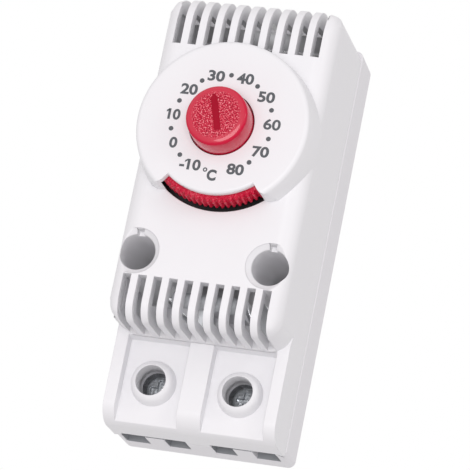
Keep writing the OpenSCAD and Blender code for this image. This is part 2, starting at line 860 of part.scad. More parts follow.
module rail_clip() {
    clip_y = groove_y + play / 2;
    nose_z = -channel_h / 2 + hook_reach;
    color([0.16, 0.16, 0.17]) difference() {
        union() {
            block(-flange_w / 2, flange_w / 2, clip_y, clip_y + flange_t - play / 2, clip_low_z,
                -channel_h / 2 - play);
            block(-clip_w / 2, clip_w / 2, clip_y, clip_y + clip_t, clip_low_z, nose_z);
            translate([-clip_w / 2, 0, 0])
                rotate([90, 0, 90])
                linear_extrude(height = clip_w)
                polygon([[lip_y, -channel_h / 2 + play], [lip_y, nose_z], [clip_y + clip_t - fine, nose_z],
                    [clip_y + clip_t - fine, -channel_h / 2 + play]]);
        }
        // The nose slopes so that the rail pushes the clip aside
        translate([-clip_w, 0, 0])
            rotate([90, 0, 90])
            linear_extrude(height = clip_w + clip_w)
            polygon([[rail_depth, nose_z - hook_reach], [rail_depth, nose_z + over],
                [lip_y + nose_t, nose_z + over], [lip_y + nose_t, nose_z]]);
        // The eye for a screwdriver
        block(-eye_w / 2, eye_w / 2, clip_y - over, rail_depth + over, clip_low_z + eye_up + eye_up,
            clip_low_z + eye_up + eye_up + eye_h);
    }
}

// Points of one ring of the spring's wire, at step i
function ring_points(i, length) =
    let (a = 360 * i / ring_steps, z = length * i / (spring_turns * ring_steps))
    [for (k = [0:wire_sides - 1])
        let (b = 360 * k / wire_sides, r = spring_r + spring_wire_r * cos(b))
        [r * cos(a), r * sin(a), z + spring_wire_r * sin(b)]];

module clip_spring() {
    length = clip_low_z - groove_low_z - play - play - spring_wire_r - spring_wire_r;
    rings = spring_turns * ring_steps;
    echo(spring_gap = length / spring_turns - spring_wire_r - spring_wire_r);
    points = [for (i = [0:rings]) for (p = ring_points(i, length)) p];
    sides = [for (i = [0:rings - 1]) for (k = [0:wire_sides - 1])
        let (a = i * wire_sides + k, b = i * wire_sides + (k + 1) % wire_sides)
        each [[a, b, a + wire_sides], [b, b + wire_sides, a + wire_sides]]];
    ends = concat([for (k = [1:wire_sides - 2]) [0, k + 1, k]],
        [for (k = [1:wire_sides - 2]) [rings * wire_sides, rings * wire_sides + k, rings * wire_sides + k + 1]]);
    color([0.72, 0.73, 0.75])
        translate([0, groove_y + spring_r + spring_wire_r + play, groove_low_z + play + spring_wire_r])
        polyhedron(points = points, faces = concat(sides, ends));
}

front_housing();
rear_base();
housing_screws();
setting_wheel();
adjusting_spindle();
spindle_bush();
wheel_carrier();
adjusting_lever();
lever_pin();
lever_rivet();
pivot_bracket();
bimetal_strip();
moving_contact();
armature();
snap_magnet();
fixed_contact();
contact_strip();
feedback_resistor();
resistor_leads();
left_clamp_plate();
right_clamp_plate();
left_terminal_screw();
right_terminal_screw();
rail_clip();
clip_spring();
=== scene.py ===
# A rail-mounted thermostat with a setting wheel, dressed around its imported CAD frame
import math

import bmesh
import bpy
from mathutils import Matrix, Vector


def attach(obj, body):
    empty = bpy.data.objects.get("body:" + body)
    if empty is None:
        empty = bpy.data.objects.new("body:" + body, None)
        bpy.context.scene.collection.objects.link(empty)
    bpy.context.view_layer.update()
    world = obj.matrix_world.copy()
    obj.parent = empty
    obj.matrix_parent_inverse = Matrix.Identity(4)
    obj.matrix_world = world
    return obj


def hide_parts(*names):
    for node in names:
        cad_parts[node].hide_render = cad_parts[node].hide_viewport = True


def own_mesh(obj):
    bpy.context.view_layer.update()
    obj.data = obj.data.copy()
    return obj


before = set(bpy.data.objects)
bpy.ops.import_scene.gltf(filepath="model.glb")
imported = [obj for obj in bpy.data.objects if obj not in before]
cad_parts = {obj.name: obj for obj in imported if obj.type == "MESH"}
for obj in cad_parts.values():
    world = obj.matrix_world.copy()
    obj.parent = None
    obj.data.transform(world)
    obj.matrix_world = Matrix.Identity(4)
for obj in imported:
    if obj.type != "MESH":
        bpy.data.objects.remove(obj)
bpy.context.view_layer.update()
print("frame loaded:", len(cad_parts), "CAD nodes")

mm = 0.001

# Places that several pieces share, in millimetres
case = {
    "halfWidth": 16.5,
    "topZ": 40.0,  # 0.8 lower than in the CAD, as the photograph shows it
    "lowZ": -40.8,
    "underZ": -24.15,  # underside of the cover, over the terminal block
    "faceY": -31.8,
    "seamY": -9.65,  # joint of the cover with the base
    "wall": 1.8,
    "frontWall": 2.4,
    "dialZ": 12.9,
    "pocket": 15.26,  # radius of the room behind the dial disc
    "wellX": 12.6,
    "wellZ": -11.4,
    "termX": 8.3,
    "termZ": -32.4,
}


# Small helpers for working by hand

def clearSelection():
    if bpy.context.object and bpy.context.object.mode != "OBJECT":
        bpy.ops.object.mode_set(mode="OBJECT")
    bpy.ops.object.select_all(action="DESELECT")


def pick(*objs):
    clearSelection()
    for obj in objs:
        obj.select_set(True)
    bpy.context.view_layer.objects.active = objs[0]
    return objs[0]


def settle(obj, name):
    pick(obj)
    obj.name = name
    bpy.ops.object.transform_apply(location=True, rotation=True, scale=True)
    return obj


def addBlock(name, low, high):
    clearSelection()
    middle = [(a + b) / 2 * mm for a, b in zip(low, high)]
    size = [(b - a) * mm for a, b in zip(low, high)]
    bpy.ops.mesh.primitive_cube_add(size=1, location=middle, scale=size)
    return settle(bpy.context.object, name)


# A rod along Y with radius r, from y0 to y1
def addRod(name, r, y0, y1, x, z, sides=64):
    clearSelection()
    bpy.ops.mesh.primitive_cylinder_add(
        vertices=sides,
        radius=r * mm,
        depth=(y1 - y0) * mm,
        location=(x * mm, (y0 + y1) / 2 * mm, z * mm),
        rotation=(-math.pi / 2, 0, 0),
    )
    return settle(bpy.context.object, name)


# A prism with a flat outline in YZ or XZ, from start to end along the third axis
def addOutline(name, points, axis, start, end):
    clearSelection()
    bpy.ops.mesh.primitive_cylinder_add(vertices=len(points), radius=mm, depth=mm)
    obj = bpy.context.object
    # The cylinder's vertices stand in pairs, one at each end
    for i, vertex in enumerate(obj.data.vertices):
        (a, b), place = points[i // 2], (start, end)[i % 2]
        vertex.co = (place * mm, a * mm, b * mm) if axis == "X" else (a * mm, place * mm, b * mm)
    bpy.ops.object.mode_set(mode="EDIT")
    bpy.ops.mesh.select_all(action="SELECT")
    bpy.ops.mesh.normals_make_consistent(inside=False)
    bpy.ops.object.mode_set(mode="OBJECT")
    return settle(obj, name)


# Puts the edges and faces of a turned form in one fixed order within each of its rings,
# because extruding leaves them in another order each run
def sortParts(obj, sides):
    lean = Vector((1, 0.618, 0.414))
    parts = bmesh.new()
    parts.from_mesh(obj.data)
    parts.edges.sort(key=lambda edge: (edge.verts[0].co + edge.verts[1].co).dot(lean))
    parts.faces.sort(key=lambda face: face.index // sides + face.calc_center_median().dot(lean))
    parts.to_mesh(obj.data)
    parts.free()


# A turned form: a circle that is extruded and resized along a profile of (radius, place) pairs.
# A profile that starts or ends at radius 0 is closed there, and a ring joins its ends.
def addTurned(name, profile, middle, axis="Y", sides=64, ring=False):
    clearSelection()
    turn = {"Y": (math.pi / 2, 0, 0), "X": (0, math.pi / 2, 0)}[axis]
    index = "XYZ".index(axis)
    smallest = 1e-5
    radius, place = max(profile[0][0] * mm, smallest), profile[0][1] * mm
    centre = Vector([v * mm for v in middle])
    centre[index] = place
    bpy.ops.mesh.primitive_circle_add(vertices=sides, radius=radius, location=centre, rotation=turn)
    obj = settle(bpy.context.object, name)
    bpy.ops.object.mode_set(mode="EDIT")
    bpy.ops.mesh.select_all(action="SELECT")
    for r, p in profile[1:]:
        nextRadius, nextPlace = max(r * mm, smallest), p * mm
        move = [0, 0, 0]
        move[index] = nextPlace - place
        bpy.ops.mesh.extrude_region_move(TRANSFORM_OT_translate={"value": move, "orient_type": "GLOBAL"})
        centre[index] = nextPlace
        size = [nextRadius / radius] * 3
        size[index] = 1
        bpy.ops.transform.resize(value=size, center_override=centre, orient_type="GLOBAL")
        radius, place = nextRadius, nextPlace
    if ring:
        bpy.ops.mesh.select_all(action="DESELECT")
        bpy.ops.object.mode_set(mode="OBJECT")
        count = len(obj.data.vertices)
        for vertex in obj.data.vertices:
            vertex.select = vertex.index < sides or vertex.index >= count - sides
        bpy.ops.object.mode_set(mode="EDIT")
        bpy.ops.mesh.select_mode(type="VERT")
        bpy.ops.mesh.bridge_edge_loops()
    else:
        bpy.ops.mesh.select_all(action="SELECT")
        bpy.ops.mesh.remove_doubles(threshold=smallest * 2.5)
        closeEnds()
    bpy.ops.mesh.select_all(action="SELECT")
    bpy.ops.mesh.normals_make_consistent(inside=False)
    bpy.ops.object.mode_set(mode="OBJECT")
    sortParts(obj, sides)
    return obj


# Fills the open loops of the mesh that is being edited
def closeEnds():
    bpy.ops.mesh.select_all(action="DESELECT")
    bpy.ops.mesh.select_non_manifold()
    bpy.ops.mesh.edge_face_add()


# A quarter arc that rounds the front edge of a turned form, as (radius, place) pairs
def edgeArc(radius, front, wide, deep, step=15):
    turns = [math.radians(angle) for angle in range(0, 91, step)]
    return [(radius - wide + wide * math.sin(a), front + deep - deep * math.cos(a)) for a in turns]


# Takes tools away from a piece, adds them to it, or keeps what they share
def combine(obj, tools, operation="DIFFERENCE"):
    for tool in tools:
        pick(obj)
        step = obj.modifiers.new("combine", "BOOLEAN")
        step.operation = operation
        step.solver = "EXACT"
        step.object = tool
        bpy.ops.object.modifier_apply(modifier=step.name)
        bpy.data.objects.remove(tool)
    return obj


def joinAll(objs, name):
    pick(*objs)
    if len(objs) > 1:
        bpy.ops.object.join()
    objs[0].name = name
    return objs[0]


# Rounds edges by the rules given as (test on an edge's middle and direction, radius)
def roundEdges(obj, rules, segments=6):
    widest = max(width for test, width in rules)
    weights = obj.data.attributes.new("bevel_weight_edge", "FLOAT", "EDGE")
    for edge in obj.data.edges:
        a, b = [obj.data.vertices[i].co / mm for i in edge.vertices]
        for test, width in rules:
            if test((a + b) / 2, (b - a).normalized()):
                weights.data[edge.index].value = width / widest
    pick(obj)
    step = obj.modifiers.new("rounding", "BEVEL")
    step.limit_method = "WEIGHT"
    step.width = widest * mm
    step.segments = segments
    step.use_clamp_overlap = False
    bpy.ops.object.modifier_apply(modifier=step.name)
    return obj


# Merges what is double in a mesh and, with flat, the faces that lie in one plane
def mergeMesh(obj, flat=True):
    pick(obj)
    bpy.ops.object.mode_set(mode="EDIT")
    bpy.ops.mesh.select_all(action="SELECT")
    bpy.ops.mesh.remove_doubles(threshold=0.01 * mm)
    if flat:
        bpy.ops.mesh.dissolve_limited(angle_limit=math.radians(0.6))
    bpy.ops.object.mode_set(mode="OBJECT")


# Breaks every sharp edge a little, as a mould does, and smooths the shading between them
def breakEdges(obj, width, angle=30, merge=True, flat=True):
    if merge:
        mergeMesh(obj, flat)
    pick(obj)
    if width:
        step = obj.modifiers.new("edges", "BEVEL")
        step.limit_method = "ANGLE"
        step.angle_limit = math.radians(angle)
        step.width = width * mm
        step.segments = 2
        step.use_clamp_overlap = False
        step.loop_slide = False
        bpy.ops.object.modifier_apply(modifier=step.name)
    bpy.ops.object.shade_smooth_by_angle(angle=math.radians(40))
    step = obj.modifiers.new("shading", "WEIGHTED_NORMAL")
    step.keep_sharp = True
    bpy.ops.object.modifier_apply(modifier=step.name)
    return obj


def copyPiece(obj, name):
    twin = obj.copy()
    twin.data = obj.data.copy()
    twin.name = name
    bpy.context.collection.objects.link(twin)
    return twin


# A copy of a CAD node to be shaped further. The node's own mesh is left alone
def copyNode(node):
    piece = copyPiece(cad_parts[node], node + "_piece")
    for key in list(piece.keys()):
        if key.startswith("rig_"):
            del piece[key]
    piece.parent = None
    piece.matrix_world = Matrix.Identity(4)
    return piece


# Gives a piece its body and its material, and hides the CAD nodes that it stands for
def dress(obj, body, material, nodes=()):
    obj.data.materials.clear()
    obj.data.materials.append(material)
    for polygon in obj.data.polygons:
        polygon.material_index = 0
    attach(obj, body)
    if nodes:
        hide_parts(*nodes)
    return obj


# Materials

# One output of a node. Arithmetic on it adds Math nodes
class Flow:
    def __init__(self, recipe, socket):
        self.recipe = recipe
        self.socket = socket

    # Another output of the same node
    def beside(self, output):
        return Flow(self.recipe, self.socket.node.outputs[output])

    def join(self, operation, left, right):
        return self.recipe.node("ShaderNodeMath", {"operation": operation}, {0: left, 1: right})

    def __add__(self, other):
        return self.join("ADD", self, other)

    def __radd__(self, other):
        return self.join("ADD", other, self)

    def __sub__(self, other):
        return self.join("SUBTRACT", self, other)

    def __rsub__(self, other):
        return self.join("SUBTRACT", other, self)

    def __mul__(self, other):
        return self.join("MULTIPLY", self, other)

    def __rmul__(self, other):
        return self.join("MULTIPLY", other, self)


# The nodes of a material, or of the world
class Recipe:
    def __init__(self, owner):
        self.owner = owner
        owner.use_nodes = True
        self.tree = owner.node_tree
        self.tree.nodes.clear()

    def node(self, kind, settings, inputs, output=0):
        made = self.tree.nodes.new(kind)
        for key, value in settings.items():
            setattr(made, key, value)
        for key, value in inputs.items():
            if isinstance(value, Flow):
                self.tree.links.new(value.socket, made.inputs[key])
            else:
                made.inputs[key].default_value = value
        return Flow(self, made.outputs[output]) if made.outputs else None

    def place(self):
        return self.node("ShaderNodeTexCoord", {}, {}, "Object")

    def noise(self, size, detail=2.0, stretch=(1, 1, 1)):
        spread = self.node("ShaderNodeMapping", {}, {"Vector": self.place(), "Scale": stretch})
        inputs = {"Vector": spread, "Scale": 1 / (size * mm), "Detail": detail}
        return self.node("ShaderNodeTexNoise", {}, inputs)

    # Rises from 0 to 1 while the value goes from low to high
    def rise(self, value, low, high):
        return self.node("ShaderNodeMapRange", {}, {"Value": value, "From Min": low, "From Max": high})

    def blend(self, amount, first, second):
        return self.node("ShaderNodeMix", {"data_type": "RGBA"}, {0: amount, 6: first, 7: second}, 2)

    def bump(self, height, strength, depth):
        inputs = {"Height": height, "Strength": strength, "Distance": depth * mm}
        return self.node("ShaderNodeBump", {}, inputs)

    def close(self, surface, kind="ShaderNodeOutputMaterial"):
        self.node(kind, {}, {"Surface": surface})
        return self.owner

    def finish(self, inputs):
        return self.close(self.node("ShaderNodeBsdfPrincipled", {}, inputs))


def shade(colour, level):
    return (*[channel * level for channel in colour], 1)


# Moulded plastic: slight mottling, a fine spark-eroded grain, and patches of more and less gloss
def mouldedPlastic(name, colour, roughness, grain, depth, mottle=0.03, specular=0.5):
    recipe = Recipe(bpy.data.materials.new(name))
    patches = recipe.noise(7, 3)
    grains = recipe.noise(grain, 2)
    specks = recipe.noise(grain * 2.7, 2)
    return recipe.finish({
        "Base Color": recipe.blend(patches, shade(colour, 1 - mottle), shade(colour, 1)),
        "Roughness": roughness + (specks - 0.5) * 0.18 + (patches - 0.5) * 0.1,
        "Normal": recipe.bump(grains + specks * 0.6, 0.35, depth),
        "Specular IOR Level": specular,
    })


# Metal with fine lines along one axis, a few dull spots and soft tarnish
def drawnMetal(name, colour, roughness, stretch, tarnish, metallic=1.0):
    recipe = Recipe(bpy.data.materials.new(name))
    lines = recipe.noise(0.12, 3, stretch)
    stain = recipe.rise(recipe.noise(2.4, 4), 0.5, 0.75)
    return recipe.finish({
        "Base Color": recipe.blend(stain * 0.25, shade(colour, 1), shade(tarnish, 1)),
        "Roughness": roughness + (lines - 0.5) * 0.22 + stain * 0.12,
        "Normal": recipe.bump(lines, 0.25, 0.02),
        "Metallic": metallic,
    })


# Dull grey metal, stamped so unevenly that it glints here and there. Its worn patches are glossier and
# more metallic, and their colour is raised as painted glints
def stampedMetal(name, colour, roughness):
    recipe = Recipe(bpy.data.materials.new(name))
    dents = recipe.noise(0.55, 2)
    lines = recipe.noise(0.15, 2)
    worn_glint = recipe.rise(dents, 0.56, 0.66)
    return recipe.finish({
        # painted glints: the worn patches' colour is raised 2.4 times
        "Base Color": recipe.blend(worn_glint, shade(colour, 1), shade(colour, 2.4)),
        "Roughness": roughness + (lines - 0.5) * 0.1 - worn_glint * 0.28,
        "Normal": recipe.bump(dents + lines * 0.2, 0.9, 0.22),
        "Metallic": 0.55 + worn_glint * 0.4,
    })


# Radii and places in millimetres between which the red plastic's finish changes, and the colour of the
# glints painted on its grain
spark = {
    "faceEnd": (4.2, 4.7),
    "faceDepth": (-41.1, -41.0),
    "rimStart": (12.4, 12.6),
    "rimShare": 0.3,
    "glossyEdge": ((4.2, 4.5), (5.2, 5.5)),
    "glossyWall": ((5.7, 5.9), (6.5, 7)),
    "bright": (0.86, 0.33, 0.36, 1),
}


# Red plastic, smooth at the sides and with a coarse grain on the knob's face and, more faintly, on the
# rim, whose light specks are painted glints and whose dark specks are painted shade
def sparkedPlastic(name, colour, roughness):
    recipe = Recipe(bpy.data.materials.new(name))
    patches = recipe.noise(5, 3)
    grains = recipe.noise(0.24, 1)
    x = recipe.node("ShaderNodeSeparateXYZ", {}, {"Vector": recipe.place()})
    y, z = x.beside(1), x.beside(2) - case["dialZ"] * mm
    radius = recipe.node("ShaderNodeMath", {"operation": "SQRT"}, {0: x * x + z * z})

    def past(value, limits):
        return recipe.rise(value, limits[0] * mm, limits[1] * mm)

    def band(start, end):
        return past(radius, start) * (1 - past(radius, end))

    face = (1 - past(radius, spark["faceEnd"])) * (1 - past(y, spark["faceDepth"]))
    face = face + past(radius, spark["rimStart"]) * spark["rimShare"]
    # painted glints on the light specks and painted shade on the dark ones
    bright = recipe.rise(grains, 0.52, 0.72) * face
    painted_grain_shade = (1 - recipe.rise(grains, 0.33, 0.52)) * face
    base = recipe.blend(patches, shade(colour, 0.92), shade(colour, 1))
    base = recipe.blend(painted_grain_shade, base, shade(colour, 0.42))
    return recipe.finish({
        "Base Color": recipe.blend(bright, base, spark["bright"]),
        "Roughness": roughness + (patches - 0.5) * 0.08 + face * 0.12,
        "Normal": recipe.bump(grains * face + recipe.noise(0.5, 2) * 0.03, 0.5, 0.1),
        "Coat Weight": band(*spark["glossyEdge"]) * 0.9 + band(*spark["glossyWall"]),
        "Specular IOR Level": 0.25,
    })


# Colour, roughness, size and depth of the grain in millimetres, mottling, specular level
plastics = {
    "housing": ((0.81, 0.81, 0.83), 0.42, 0.22, 0.012),
    "base": ((0.79, 0.785, 0.81), 0.48, 0.24, 0.014),
    "black_plastic": ((0.022, 0.022, 0.024), 0.5, 0.25, 0.02),
    "magnet": ((0.10, 0.10, 0.105), 0.55, 0.35, 0.05, 0.25),
    "resistor_body": ((0.58, 0.60, 0.62), 0.45, 0.3, 0.03, 0.06),
    "pointer": ((0.40, 0.0, 0.02), 0.35, 0.3, 0.03, 0.3, 0.15),
    # painted shade: the dark grey sheets in the wire windows
    "painted_shade_lining": ((0.32, 0.335, 0.355), 0.6, 0.25, 0.02),
    "print": ((0.085, 0.095, 0.105), 0.5, 0.15, 0.006, 0.2),
}

# Colour, roughness, stretch of the drawing lines, colour of the tarnish, metallic
metals = {
    "steel": ((0.62, 0.62, 0.63), 0.36, (1, 0.08, 1), (0.36, 0.35, 0.34), 0.55),
    "zinc_steel": ((0.50, 0.51, 0.53), 0.24, (1, 0.3, 1), (0.34, 0.35, 0.37)),
    "brass": ((0.80, 0.62, 0.30), 0.28, (0.1, 1, 1), (0.42, 0.28, 0.14)),
    "tinned_brass": ((0.60, 0.61, 0.63), 0.42, (0.1, 1, 1), (0.44, 0.44, 0.44), 0.5),
    "bimetal": ((0.56, 0.56, 0.57), 0.42, (1, 1, 0.06), (0.40, 0.39, 0.38), 0.5),
    "contact_silver": ((0.86, 0.85, 0.82), 0.22, (1, 1, 1), (0.4, 0.38, 0.34)),
    "tinned_wire": ((0.82, 0.83, 0.85), 0.2, (1, 0.1, 1), (0.5, 0.5, 0.5)),
}

materials = {name: mouldedPlastic(name, *values) for name, values in plastics.items()}
materials.update({name: drawnMetal(name, *values) for name, values in metals.items()})
materials["red_plastic"] = sparkedPlastic("red_plastic", (0.58, 0.0, 0.035), 0.32)
materials["stamped_screw"] = stampedMetal("stamped_screw", (0.36, 0.38, 0.40), 0.45)
print("materials made:", len(materials))


# The white cover

cover = {
    "topRound": 6.0,
    "lowRound": 3.7,
    "sideRound": 3.5,
    "topCorner": 3.3,
    "lowCorner": 3.8,
    "insideRound": 2.2,
    "insideCorner": 1.0,
    "slots": 10,
    "pitch": 2.953,
    "slotWidth": 1.62,
    "slotBack": -20.9,
    "highSlotLow": 29.39,
    "lowSlotHigh": -15.91,
    "wellRadius": 3.4,
    "wellMouth": 4.35,
    "wellStep": 0.2,
    "wellWall": 1.2,
    "wellBottom": 1.8,
    "wellEnd": -13.3,
    "screwHole": 1.5,
    "tubeFrom": 2.25,  # behind the face
    "tubeSide": 0.7,  # in from the side, so that no tube pokes through its rounding
    "keyWidth": 1.3,
    "keyHeight": 0.9,
    "keyDepth": 2.2,
    "roofTop": 36.2,
    "roofRise": 1.4,
    "roofBack": -19.4,
    "rib": 0.27,
    "ribFront": -27.2,
    "edge": 0.16,
}


# The terminal block below it, one moulding with the cover
block = {
    "front": -20.5,
    "panel": -18.1,
    "panelThickness": 1.8,
    "sideRim": 2.3,
    "middleRim": 4.6,
    "noseRun": 5.0,
    "noseRise": 3.9,
    "divider": 2.0,
    "top": -19.05,
    "windows": (2.4, 14.9),
    "ceilingDrop": 0.35,
    "notch": 1.4,
    "joint": 0.26,
    "jointHigh": 0.7,
    "hole": 2.85,
    "tube": 1.0,
    "collar": [(4.3, 0), (4.12, 0.7), (4.0, 1.3), (3.86, 1.75), (3.62, 2.12), (3.3, 2.4), (3.02, 2.56)],
}


def isAlong(axis, direction):
    return abs(direction["XYZ".index(axis)]) > 0.99


def addSlots(name, z0, z1):
    half, pitch = cover["slotWidth"] / 2, cover["pitch"]
    first = -(cover["slots"] - 1) / 2 * pitch
    slots = [addBlock(name, (first - half, case["faceY"] - 1, z0), (first + half, cover["slotBack"], z1))]
    for i in range(1, cover["slots"]):
        slots.append(copyPiece(slots[0], name))
        for vertex in slots[-1].data.vertices:
            vertex.co += Vector((pitch, 0, 0)) * mm * i
    return joinAll(slots, name)


# The side outline of the terminal block, with its rounded nose, drawn smaller by inset
def noseOutline(inset, front, back, top):
    run, rise, low = block["noseRun"], block["noseRise"], case["lowZ"]
    steps = 14
    nose = []
    for a in [math.pi / 2 * i / steps for i in range(steps + 1)]:
        y = block["front"] + run - (run - inset) * math.cos(a)
        if y > front + 0.01:
            nose.append((y, low + rise - (rise - inset) * math.sin(a)))
    return [(front, top), (front, low + rise), *nose, (back, low + inset), (back, top)]


def cutTerminalBlock(shell):
    w, wall, seam, low = case["halfWidth"], case["wall"], case["seamY"], case["lowZ"]
    front, panelY, ceiling = block["front"], block["panel"], case["underZ"]
    inside = panelY + block["panelThickness"]
    for side in (-1, 1):
        x0, x1 = sorted((side * block["middleRim"] / 2, side * (w - block["sideRim"])))
        panel = addOutline("panel", [
            (front - 1, low - 1), (panelY, low - 1), (panelY, ceiling - block["ceilingDrop"]),
            (front, ceiling), (front - 1, ceiling),
        ], "X", x0, x1)
        x0, x1 = sorted((side * block["divider"] / 2, side * (w - wall)))
        outline = noseOutline(wall, inside, seam + 1, block["top"] - 3)
        chamber = addOutline("chamber", outline, "X", x0, x1)
        hole = addRod("hole", block["hole"], front, inside + 1, side * case["termX"], case["termZ"], 96)
        combine(shell, [panel, chamber, hole])
        # The notch over the two wire windows
        x0, x1 = sorted(side * place for place in block["windows"])
        notch = addBlock("notch", (x0, seam - block["notch"], low - 1), (x1, seam + 1, low + wall + 0.5))
        combine(shell, [notch])
    # A fine gap along the joint under the nose
    start, end = (-w + 1.3, seam - block["joint"], low - 1), (w - 0.2, seam + 1, low + block["jointHigh"])
    combine(shell, [addBlock("gap", start, end)])


# A well for a housing screw, with its tube inside
def addWell(shell, side):
    x, z, face, end = side * case["wellX"], case["wellZ"], case["faceY"], cover["wellEnd"]
    radius, mouth = cover["wellRadius"], cover["wellMouth"]
    start, bottom = face + cover["tubeFrom"], end + cover["wellBottom"]
    tube = addRod("tube", radius + cover["wellWall"], start, bottom, x, z)
    half = case["halfWidth"] - cover["tubeSide"]
    limit = addBlock("limit", (-half, face, -40), (half, 0, 40))
    combine(tube, [limit], "INTERSECT")
    combine(shell, [tube], "UNION")
    # 52 sides, because other counts leave a sliver between a facet and the key's side
    bore = addTurned("bore", [
        (0, end), (radius, end), (radius, face + mouth - radius),
        (mouth, face + cover["wellStep"]), (mouth, face - 0.6), (0, face - 0.6),
    ], (x, 0, z), sides=52)
    low = (x - cover["keyWidth"] / 2, face - 1, z)
    high = (x + cover["keyWidth"] / 2, face + cover["keyDepth"], z + radius + cover["keyHeight"])
    hole = addRod("hole", cover["screwHole"], end - 1, case["seamY"], x, z, sides=32)
    combine(shell, [bore, addBlock("key", low, high), hole])


def makeCoverShell():
    w, wall = case["halfWidth"], case["wall"]
    face, seam, top, under = case["faceY"], case["seamY"], case["topZ"], case["underZ"]
    shell = addBlock("cover_shell", (-w, face, under), (w, seam, top))
    roundEdges(shell, [
        (lambda m, d: isAlong("X", d) and m.y < face + 0.1 and m.z > 0, cover["topRound"]),
        (lambda m, d: isAlong("X", d) and m.y < face + 0.1 and m.z < 0, cover["lowRound"]),
        (lambda m, d: isAlong("Z", d) and m.y < face + 0.1, cover["sideRound"]),
        (lambda m, d: isAlong("Y", d) and m.z > 0, cover["topCorner"]),
        (lambda m, d: isAlong("Y", d) and m.z < 0, cover["lowCorner"]),
    ], 10)
    outline = noseOutline(0, block["front"], seam, block["top"])
    combine(shell, [addOutline("terminal_block", outline, "X", -w, w)], "UNION")
    # The room inside, with a sloped roof over the upper slots
    front, low, high = face + case["frontWall"], under + wall, top - wall
    inside = addOutline("inside", [
        (front, cover["roofTop"]), (front, low), (seam + 1, low), (seam + 1, high),
        (cover["roofBack"], high), (cover["roofBack"], cover["roofTop"] + cover["roofRise"]),
    ], "X", -w + wall, w - wall)
    roundEdges(inside, [
        (lambda m, d: isAlong("X", d) and m.y < seam - 5 and m.z < 0, cover["insideRound"]),
        (lambda m, d: isAlong("Z", d) and m.y < front + 0.1, cover["insideCorner"]),
    ], 5)
    combine(shell, [inside])
    cutTerminalBlock(shell)
    for side in (-1, 1):
        addWell(shell, side)
    pocket = addRod("pocket", case["pocket"], face - 1, front + 1, 0, case["dialZ"], sides=128)
    combine(shell, [pocket])
    # The edges are broken before the slots are cut, which stay sharp
    breakEdges(shell, cover["edge"], flat=False)
    combine(shell, [addSlots("lowSlots", under - 1, cover["lowSlotHigh"])])
    combine(shell, [addSlots("highSlots", cover["highSlotLow"], top + 1)])
    # An inner rib shows in the first low slot
    rib = addBlock("rib", (-w + 0.9, cover["ribFront"], under + 0.9),
        (-w + wall + cover["rib"], seam - 4, cover["lowSlotHigh"] + 2))
    combine(shell, [rib], "UNION")
    breakEdges(shell, 0, flat=False)
    return dress(shell, "case", materials["housing"], ["front_housing"])


coverShell = makeCoverShell()
print("cover with its terminal block:", len(coverShell.data.polygons), "faces")


# The dial disc, one moulding with the cover

dial = {
    "front": -36.69,
    "radius": 16.24,
    "foot": 16.9,
    "fillet": 0.9,
    "thickness": 1.3,
    "knobHole": 6.16,
    "thumbRadius": 13.4,
    "thumbAngle": 37.5,
    "thumbEdge": 0.5,
    "cornerOut": 16.6,
    "cornerRound": 1.9,
    "skirtBack": -28.1,
    "skirtFrom": 12.8,
}


def makeDialDisc():
    front, face, centre = dial["front"], case["faceY"], case["dialZ"]
    middle = (0, 0, centre)
    disc = addTurned("dial_disc", [
        (dial["knobHole"], front + dial["thickness"]), (dial["knobHole"], front),
        *edgeArc(dial["radius"], front, dial["fillet"], dial["fillet"]),
        (dial["foot"], face + 0.2), (dial["foot"], dial["skirtBack"]),
        (case["pocket"], dial["skirtBack"]), (case["pocket"], front + dial["thickness"]),
    ], middle, sides=160, ring=True)
    # Only at the sides is the edge of the disc draped over the rounded cover
    reach = dial["skirtFrom"]
    combine(disc, [addBlock("gap", (-reach, face + 0.25, -20), (reach, dial["skirtBack"] + 1, 40))])
    # The thumb opening, cut from its inner radius out through the edge
    angle, inner, edge, far = math.radians(dial["thumbAngle"]), dial["thumbRadius"], dial["thumbEdge"], 19
    opening = addTurned("opening", [
        (inner - edge, front - 1), *edgeArc(inner, front, edge, edge),
        (inner, face + 0.4), (far, face + 0.4), (far, front - 1),
    ], middle, sides=160, ring=True)
    x, z = 26 * math.sin(angle), centre - 26 * math.cos(angle)
    sector = addOutline("sector", [(0, centre), (x, z), (-x, z)], "Y", front - 2, face + 2)
    combine(opening, [sector], "INTERSECT")
    combine(disc, [opening])
    # The outer corners beside the opening are rounded
    small = dial["cornerRound"]
    out = dial["cornerOut"] - small
    lean = math.asin(small / out)
    right = []
    for turn in [(math.pi / 2 + lean) * step / 8 for step in range(9)]:
        x = out * math.sin(angle + lean) - small * math.cos(angle + turn)
        z = out * math.cos(angle + lean) + small * math.sin(angle + turn)
        right.append((x, centre - z))
    right.append((far * math.sin(angle + lean), centre - far * math.cos(angle + lean)))
    right.append((0.1, centre - (far + 8)))
    left = [(-x, z) for x, z in reversed(right)]
    start = inner + 1
    turns = [angle * (i / 4 - 1) for i in range(9)]
    arc = [(start * math.sin(a), centre - start * math.cos(a)) for a in turns]
    combine(disc, [addOutline("corners", arc + right + left, "Y", front - 1, face + 0.4)])
    breakEdges(disc, 0)
    return dress(disc, "case", materials["housing"], ["front_housing"])


dialDisc = makeDialDisc()
print("dial disc:", len(dialDisc.data.polygons), "faces")


# The figures of the scale, printed a hair proud of the disc

scale = {
    "radius": 9.46,
    "step": 34,  # degrees between two figures
    "first": -153,
    "height": 2.1,
    "width": 3.2,
    "ownWidth": {"0": 1.5, "10": 2.35, "-10": 4.0},
    "bold": 0.033,
    "ownBold": {"60": 0.025, "C": 0.045},
    "tenShift": 0.22,
    "stem": {"-10": 0.34, "10": 0.03},  # left edge of the figure one, as a share of the width
    "strokeOut": 0.42,
    "strokeIn": 0.1,
    "strokeDrop": 0.36,
    "proud": 0.03,
    "sunk": 0.05,
    "dot": 0.45,
    "unit": (0.1, -10),  # middle of the letter, from the dial's middle
    "unitSize": (1.75, 2.15),
    "ring": (-1.3, -9.1),
    "ringRadii": (0.2, 0.42),
}


